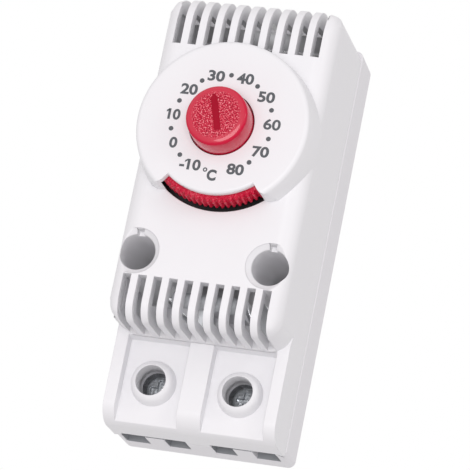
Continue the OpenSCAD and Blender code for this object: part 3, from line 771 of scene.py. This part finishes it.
def addFigure(text, x, z, width, height):
    clearSelection()
    bpy.ops.object.text_add(rotation=(math.pi / 2, 0, 0))
    figure = bpy.context.object
    figure.data.body = text
    figure.data.offset = scale["ownBold"].get(text, scale["bold"])
    figure.data.extrude = 0.1
    bpy.ops.object.convert(target="MESH")
    figure = settle(bpy.context.object, "figure")
    spots = [vertex.co for vertex in figure.data.vertices]
    low = Vector([min(spot[i] for spot in spots) for i in range(3)])
    high = Vector([max(spot[i] for spot in spots) for i in range(3)])
    middle = (low + high) / 2
    for vertex in figure.data.vertices:
        vertex.co.x = x * mm + (vertex.co.x - middle.x) / (high.x - low.x) * width * mm
        vertex.co.z = z * mm + (vertex.co.z - middle.z) / (high.z - low.z) * height * mm
        depth = -scale["proud"] if vertex.co.y < middle.y else scale["sunk"]
        vertex.co.y = (dial["front"] + depth) * mm
    return figure


def makeScale():
    centre, radius = case["dialZ"], scale["radius"]
    front, back = dial["front"] - scale["proud"], dial["front"] + scale["sunk"]
    prints = []
    for i, number in enumerate(range(-10, 90, 10)):
        angle = math.radians(scale["first"] + scale["step"] * i)
        x, z = radius * math.sin(angle), centre + radius * math.cos(angle)
        text = str(number)
        width = scale["ownWidth"].get(text, scale["width"])
        if text == "10":
            x += scale["tenShift"]
        prints.append(addFigure(text, x, z, width, scale["height"]))
        if text in scale["stem"]:
            # The slanted stroke at the top of the figure one
            stem = x - width / 2 + width * scale["stem"][text]
            left, right = stem - scale["strokeOut"], stem + scale["strokeIn"]
            high, drop = z + scale["height"] / 2, scale["strokeDrop"]
            stroke = [(right, high), (right, high - drop), (left, high - drop * 2), (left, high - drop)]
            prints.append(addOutline("stroke", stroke, "Y", front, back))
        if number < 80:
            half = angle + math.radians(scale["step"] / 2)
            x, z = radius * math.sin(half), centre + radius * math.cos(half)
            prints.append(addRod("dot", scale["dot"], front, back, x, z, sides=24))
    x, z = scale["unit"]
    prints.append(addFigure("C", x, centre + z, *scale["unitSize"]))
    x, z = scale["ring"]
    hole, rim = scale["ringRadii"]
    profile = [(hole, back), (hole, front), (rim, front), (rim, back)]
    prints.append(addTurned("ring", profile, (x, 0, centre + z), sides=24, ring=True))
    figures = joinAll(prints, "dial_figures")
    pick(figures)
    bpy.ops.object.shade_flat()
    return dress(figures, "case", materials["print"])


dialFigures = makeScale()
print("figures:", len(dialFigures.data.polygons), "faces")


# The collars round the screwdriver holes
def makeCollar(side, name):
    panel, bore = block["panel"], block["hole"]
    back = panel + block["panelThickness"] + block["tube"]
    dome = [(r, panel - height) for r, height in reversed(block["collar"])]
    top = dome[0][1] - 0.04
    collar = addTurned(name, [
        (bore, back), (bore, top + 0.14), (bore + 0.04, top + 0.04), (bore + 0.1, top), *dome,
        (dome[-1][0], panel + 0.1), (3.9, panel + 0.4), (3.9, back),
    ], (side * case["termX"], 0, case["termZ"]), sides=96, ring=True)
    breakEdges(collar, 0)
    return dress(collar, "case", materials["housing"], ["front_housing"])


makeCollar(-1, "left_collar")
makeCollar(1, "right_collar")
print("collars made")


# The red setting wheel: knurled rim, knob and pointer

wheel = {
    "front": -41.3,
    "rimFront": -35.19,
    "rimBack": -31.59,
    "rimRadius": 14.6,
    "rimEdge": 0.3,
    "tooth": 0.45,
    "teeth": 84,
    "toothShape": [0, 0, 0, 0.75, 1, 0.75],  # depth of the cut, from one tooth to the next
    "bore": 2.05,
    "hub": 4.6,
    "dish": 12.35,
    "dishDepth": 1.3,
    "knob": 5.95,
    "knobTip": 5.73,
    "knobRound": 1.35,
    "knobRoundDeep": 0.75,
    "pointer": 17,  # degrees, the arrow stands on 30
    "arrowWidth": 1.25,
    "arrowHead": 1.85,
    "arrowLong": 4.2,
    "arrowTail": 2.9,
    "headLong": 1.15,
    "arrowDeep": 0.45,
    "inlayFrom": 0.12,
}


def makeRim():
    front, back, radius, edge = wheel["rimFront"], wheel["rimBack"], wheel["rimRadius"], wheel["rimEdge"]
    floor, centre, shape = front + wheel["dishDepth"], case["dialZ"] * mm, wheel["toothShape"]
    sides = wheel["teeth"] * len(shape)
    rim = addTurned("setting_wheel", [
        (wheel["bore"], back), (wheel["bore"], floor), (wheel["hub"], floor), (wheel["dish"], floor),
        (wheel["dish"], back), (radius - edge, back), (radius, back - edge),
        (radius, front + edge), (radius - edge, front), (0, front),
    ], (0, 0, case["dialZ"]), sides=sides)
    for vertex in rim.data.vertices:
        x, z = vertex.co.x, vertex.co.z - centre
        r = math.hypot(x, z)
        if r > (radius - edge * 2) * mm:
            turn = math.atan2(x, z) / (2 * math.pi) * sides
            cut = shape[round(turn) % len(shape)] * wheel["tooth"] * mm
            vertex.co.x *= (r - cut) / r
            vertex.co.z = centre + z * (r - cut) / r
    return rim


# The tool that sinks the pointer in the knob's face, with its corners and the edges of its floor rounded
def makeArrow():
    half, head, tail = wheel["arrowWidth"] / 2, wheel["arrowHead"] / 2, wheel["arrowTail"]
    tip, turn, face = wheel["arrowLong"], math.radians(wheel["pointer"]), wheel["front"]
    neck = tip - wheel["headLong"]
    upright = [
        (-half, -tail), (half, -tail), (half, neck), (head, neck),
        (0, tip), (-head, neck), (-half, neck),
    ]
    outline = []
    for x, z in upright:
        across = x * math.cos(turn) - z * math.sin(turn)
        outline.append((across, case["dialZ"] + x * math.sin(turn) + z * math.cos(turn)))
    arrow = addOutline("arrow", outline, "Y", face + wheel["arrowDeep"], face - 0.6)
    return roundEdges(arrow, [
        (lambda m, d: isAlong("Y", d), 0.16),
        (lambda m, d: not isAlong("Y", d) and m.y > face, 0.14),
    ], 3)


def makeWheel():
    rim, arrow = makeRim(), makeArrow()
    # The knob stands out through the disc, with a rounded edge round its face
    face, tip, root = wheel["front"], wheel["knobTip"], wheel["rimFront"] + 0.4
    wide, deep = wheel["knobRound"], wheel["knobRoundDeep"]
    knob = addTurned("knob", [
        (0, face), (tip - wide - 0.6, face), *edgeArc(tip, face, wide, deep, 9),
        (wheel["knob"], dial["front"]), (wheel["knob"], root), (0, root),
    ], (0, 0, case["dialZ"]), sides=128)
    inlay = copyPiece(arrow, "pointer_inlay")
    combine(inlay, [addBlock("above", (-9, face - 2, 0), (9, face + wheel["inlayFrom"], 30))])
    breakEdges(inlay, 0)
    dress(inlay, "wheel", materials["pointer"])
    combine(knob, [arrow])
    breakEdges(knob, 0.1, angle=50)
    breakEdges(rim, 0, merge=False)
    wheelPiece = joinAll([rim, knob], "setting_wheel")
    return dress(wheelPiece, "wheel", materials["red_plastic"], ["setting_wheel"])


settingWheel = makeWheel()
print("setting wheel:", len(settingWheel.data.polygons), "faces")


# The two terminal screws

screw = {
    "head": 2.6,
    "headFront": -14.35,
    "headHeight": 2.4,
    "shank": 1.75,
    "end": -4.35,
    "pitch": 0.6,
    "thread": 0.22,
    "crossWide": 0.75,
    "crossLong": 3.5,
    "crossDeep": 1.0,
}


def addCross(x, y, z, wide, long, deep):
    bars = []
    for w, h in ((wide, long), (long, wide)):
        bar = addBlock("bar", (x - w / 2, y - 0.5, z - h / 2), (x + w / 2, y + deep, z + h / 2))
        roundEdges(bar, [(lambda m, d: isAlong("Y", d), wide * 0.2)], 2)
        bars.append(bar)
    return bars


def makeTerminalScrew(side, name):
    x, z = side * case["termX"], case["termZ"]
    front, r = screw["headFront"], screw["head"]
    dome = [(r * math.sin(a) * 0.93, front + 0.5 * (1 - math.cos(a) ** 2) * 0.9)
        for a in [math.radians(step) for step in range(0, 76, 15)]]
    back = front + screw["headHeight"]
    thread = []
    y = back + 0.3
    while y < screw["end"] - screw["pitch"]:
        thread += [(screw["shank"], y), (screw["shank"] - screw["thread"], y + screw["pitch"] / 2)]
        y += screw["pitch"]
    piece = addTurned(name, [
        *dome, (r, front + 0.75), (r, back - 0.15), (r - 0.15, back), (screw["shank"], back), *thread,
        (screw["shank"], screw["end"] - 0.4), (screw["shank"] - 0.4, screw["end"]), (0, screw["end"]),
    ], (x, 0, z), sides=48)
    combine(piece, addCross(x, front, z, screw["crossWide"], screw["crossLong"], screw["crossDeep"]))
    breakEdges(piece, 0.06, angle=45)
    return dress(piece, name.replace("_terminal", ""), materials["stamped_screw"], [name])


makeTerminalScrew(-1, "left_terminal_screw")
makeTerminalScrew(1, "right_terminal_screw")


# The resistor. Its leads keep their CAD form

resistor = {
    "middle": (0.6, -25.8, -18.05),
    "long": 12.5,
    "radius": 1.55,
    "bulge": 0.12,
    "cap": 1.6,
}


def makeResistor():
    x, y, z = resistor["middle"]
    half, r, cap, bulge = resistor["long"] / 2, resistor["radius"], resistor["cap"], resistor["bulge"]
    ends = [
        (0, -half), (r * 0.55, -half), (r * 0.86, -half + 0.2), (r, -half + 0.65),
        (r, -half + cap - 0.5), (r - bulge, -half + cap),
    ]
    profile = ends + [(radius, -place) for radius, place in reversed(ends)]
    profile = [(radius, x + place) for radius, place in profile]
    piece = addTurned("feedback_resistor", profile, (0, y, z), "X", 48)
    breakEdges(piece, 0, merge=False)
    return dress(piece, "case", materials["resistor_body"], ["feedback_resistor"])


makeResistor()


# A piece that keeps its CAD form, with merged faces, broken edges and its own finish
def dressNode(node, body, finish, width):
    return dress(breakEdges(copyNode(node), width, 35), body, materials[finish], [node])


rearBase = {
    "high": 39.6,
    "corner": 1.4,
    "widen": 1.009,
    "topFrom": 36,
    "topDrop": 0.6,
    "topFall": 0.4,
    "rimRound": 0.2,
    "edge": 0.12,
}


# The base's front edge is rounded more, so that the joint with the cover shows as a line
def makeBase():
    base = copyNode("rear_base")
    mergeMesh(base)
    high, low, corner, seam = rearBase["high"], case["lowZ"], rearBase["corner"], case["seamY"]
    middle, half = (high + low) / 2, (high - low) / 2

    def onRim(m, d):
        across = max(abs(m.x) - case["halfWidth"] + corner, 0)
        along = max(abs(m.z - middle) - half + corner, 0)
        return abs(m.y - seam) < 0.02 and math.hypot(across, along) > corner - 0.04

    # The base stands a hair proud of the cover's sides, and its top falls away to the back
    for vertex in base.data.vertices:
        vertex.co.x *= rearBase["widen"]
        if vertex.co.z > rearBase["topFrom"] * mm:
            behind = max(vertex.co.y / mm - seam, 0) / -seam
            vertex.co.z -= (rearBase["topDrop"] + rearBase["topFall"] * behind) * mm
    roundEdges(base, [(onRim, rearBase["rimRound"])], 3)
    breakEdges(base, rearBase["edge"], 35)
    return dress(base, "case", materials["base"], ["rear_base"])


makeBase()


# Where the sheets of painted shade stand in the wire windows, in millimetres
painted_shade_lining = {
    "outer": (10.25, 14.9),
    "inner": (2.4, 6.6),
    "front": -9.6,
    "back": -5.55,
    "tongue": -10.2,
    "low": -40.72,
    "high": -39.0,
    "thickness": 0.06,
}


# Dark grey sheets in the wire windows of the base: painted shade, put where the windows' insides only lie
# in shade
def makeLinings():
    t, low, high = painted_shade_lining["thickness"], painted_shade_lining["low"], painted_shade_lining["high"]
    front, back, tongue = painted_shade_lining["front"], painted_shade_lining["back"], painted_shade_lining["tongue"]
    boxes = []
    for side in (-1, 1):
        for key in ("outer", "inner"):
            x0, x1 = sorted(side * place for place in painted_shade_lining[key])
            boxes.append(((x0, back - t, low), (x1, back, high)))
            boxes.append(((x0, front, low), (x0 + t, back - t, high)))
            boxes.append(((x1 - t, front, low), (x1, back - t, high)))
        x0, x1 = sorted((side * painted_shade_lining["inner"][1], side * painted_shade_lining["outer"][0]))
        boxes.append(((x0, tongue - t, low), (x1, tongue, high)))
    painted_shade_linings = joinAll([addBlock("plate", *box) for box in boxes], "window_painted_shade_linings")
    breakEdges(painted_shade_linings, 0)
    return dress(painted_shade_linings, "case", materials["painted_shade_lining"])


makeLinings()
print("base dressed")


dressed = [
    ("housing_screws", "case", "steel", 0.08),
    ("adjusting_spindle", "spindle", "steel", 0.06),
    ("spindle_bush", "case", "brass", 0.08),
    ("wheel_carrier", "case", "black_plastic", 0.15),
    ("adjusting_lever", "lever", "zinc_steel", 0.06),
    ("lever_pin", "case", "steel", 0.06),
    ("lever_rivet", "lever", "brass", 0.08),
    ("pivot_bracket", "case", "tinned_brass", 0.06),
    ("bimetal_strip", "bimetal", "bimetal", 0.04),
    ("moving_contact", "bimetal", "contact_silver", 0.06),
    ("armature", "bimetal", "steel", 0.06),
    ("snap_magnet", "case", "magnet", 0.1),
    ("fixed_contact", "case", "contact_silver", 0.06),
    ("contact_strip", "case", "tinned_brass", 0.06),
    ("resistor_leads", "case", "tinned_wire", 0),
    ("left_clamp_plate", "left_clamp", "zinc_steel", 0.08),
    ("right_clamp_plate", "right_clamp", "zinc_steel", 0.08),
    ("rail_clip", "clip", "black_plastic", 0.12),
]
for node, body, finish, width in dressed:
    dressNode(node, body, finish, width)
print("CAD forms dressed:", len(dressed))


# The coil spring behind the rail clip

coil = {
    "radius": 1.0,
    "wire": 0.2,
    "turns": 5,
    "steps": 24,
    "low": -37.0,
    "high": -31.6,
    "y": 3.25,
    "anchor": -37.2,
    "keep": 0.55,
}


def makeSpring():
    clearSelection()
    bpy.ops.mesh.primitive_circle_add(
        vertices=10,
        radius=coil["wire"] * mm,
        location=(coil["radius"] * mm, 0, (coil["low"] + coil["wire"]) * mm),
        rotation=(math.pi / 2, 0, 0),
    )
    spring = settle(bpy.context.object, "clip_spring_coil")
    step = spring.modifiers.new("wind", "SCREW")
    step.axis = "Z"
    step.screw_offset = (coil["high"] - coil["low"] - coil["wire"] * 2) * mm / coil["turns"]
    step.iterations = coil["turns"]
    step.steps = coil["steps"]
    step.render_steps = coil["steps"]
    step.use_merge_vertices = True
    pick(spring)
    bpy.ops.object.modifier_apply(modifier=step.name)
    for vertex in spring.data.vertices:
        vertex.co.y += coil["y"] * mm
    bpy.ops.object.mode_set(mode="EDIT")
    closeEnds()
    bpy.ops.mesh.select_all(action="SELECT")
    bpy.ops.mesh.normals_make_consistent(inside=False)
    bpy.ops.object.mode_set(mode="OBJECT")
    bpy.ops.object.shade_smooth_by_angle(angle=math.radians(50))
    dress(spring, "case", materials["steel"], ["clip_spring"])
    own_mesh(spring)
    return spring


makeSpring()
print("spring wound")


# The floor, the light and the camera

light = {
    "world": 0.68,
    "worldTint": (1, 0.97, 0.98, 1),
    "lampTint": (1, 0.975, 0.98),
    "key": ((0.12, -1.0, -0.14), 0.7, 4.5),  # place and size in metres, power
    "fill": ((0.75, -0.5, 0.35), 0.3, 0.75),
    "inside": [(-8, -9, -14), (8, -9, -14), (0, -16, 34)],
    "insidePower": 0.0004,
    "insideSize": 2,
    "floor": (0.9, 0.9, 0.9),
}


# The world lights the object with a soft grey and shows itself as plain white
def makeWorld():
    world = bpy.data.worlds.new("studio")
    bpy.context.scene.world = world
    recipe = Recipe(world)
    seen = recipe.node("ShaderNodeLightPath", {}, {}, "Is Camera Ray")
    path = seen
    for ray in ("Is Glossy Ray", "Is Transmission Ray"):
        seen = seen.join("MAXIMUM", seen, path.beside(ray))
    grey = {"Color": light["worldTint"], "Strength": light["world"]}
    white = {"Color": (1, 1, 1, 1), "Strength": 1.0}
    skies = [recipe.node("ShaderNodeBackground", {}, inputs) for inputs in (grey, white)]
    mixed = recipe.node("ShaderNodeMixShader", {}, {0: seen, 1: skies[0], 2: skies[1]})
    recipe.close(mixed, "ShaderNodeOutputWorld")


# The floor shows only from above, because the photograph looks up from below it
def makeFloor():
    clearSelection()
    bpy.ops.mesh.primitive_plane_add(size=6, location=(0, 0, (case["lowZ"] - 0.05) * mm))
    floor = settle(bpy.context.object, "floor")
    recipe = Recipe(bpy.data.materials.new("floor"))
    colour = recipe.blend(recipe.noise(60, 3), shade(light["floor"], 0.98), shade(light["floor"], 1))
    surface = recipe.node("ShaderNodeBsdfDiffuse", {}, {"Color": colour})
    clear = recipe.node("ShaderNodeBsdfTransparent", {}, {})
    seen = recipe.node("ShaderNodeLightPath", {}, {}, "Is Camera Ray")
    behind = recipe.node("ShaderNodeNewGeometry", {}, {}, "Backfacing")
    mixed = recipe.node("ShaderNodeMixShader", {}, {0: seen * (1 - behind), 1: clear, 2: surface})
    floor.data.materials.append(recipe.close(mixed))


def addLamp(name, kind, power):
    data = bpy.data.lights.new(name, kind)
    data.energy = power
    lamp = bpy.data.objects.new(name, data)
    bpy.context.collection.objects.link(lamp)
    return lamp


# A round lamp that looks at the body's middle
def addRoundLamp(name, place, size, power):
    lamp = addLamp(name, "AREA", power)
    lamp.data.shape = "DISK"
    lamp.data.size = size
    lamp.data.color = light["lampTint"]
    place = Vector(place)
    lamp.matrix_world = Matrix.Translation(place) @ (-place).to_track_quat("-Z", "Y").to_matrix().to_4x4()


# Small lamps in the housing, because the photograph shows an even grey behind the slots
def addInsideLamps():
    for place in light["inside"]:
        lamp = addLamp("inside", "POINT", light["insidePower"])
        lamp.data.shadow_soft_size = light["insideSize"] * mm
        lamp.location = Vector(place) * mm


view = {
    "azimuth": 16.363,
    "elevation": -16.32,
    "roll": 11.49,
    "distance": 594.86,
    "target": (5.261, -31.8, -6.334),
    "focal": 3286.6,
    "width": 470,
}


def makeCamera():
    a, e, roll = [math.radians(view[key]) for key in ("azimuth", "elevation", "roll")]
    back = Vector((math.sin(a) * math.cos(e), -math.cos(a) * math.cos(e), math.sin(e)))
    right = Vector((math.cos(a), math.sin(a), 0))
    up = Vector((-math.sin(a) * math.sin(e), math.cos(a) * math.sin(e), math.cos(e)))
    across = math.cos(roll) * right + math.sin(roll) * up
    above = -math.sin(roll) * right + math.cos(roll) * up
    place = (Vector(view["target"]) + back * view["distance"]) * mm
    camera = bpy.data.objects.new("camera", bpy.data.cameras.new("camera"))
    bpy.context.collection.objects.link(camera)
    turn = Matrix((across, above, back)).transposed()
    camera.matrix_world = Matrix.Translation(place) @ turn.to_4x4()
    camera.data.sensor_width = 36
    camera.data.lens = view["focal"] / view["width"] * 36
    camera.data.clip_start = 0.01
    bpy.context.scene.camera = camera


makeWorld()
makeFloor()
addRoundLamp("key", *light["key"])
addRoundLamp("fill", *light["fill"])
addInsideLamps()
makeCamera()
bpy.context.scene.view_settings.view_transform = "Standard"
print("floor, light and camera made")
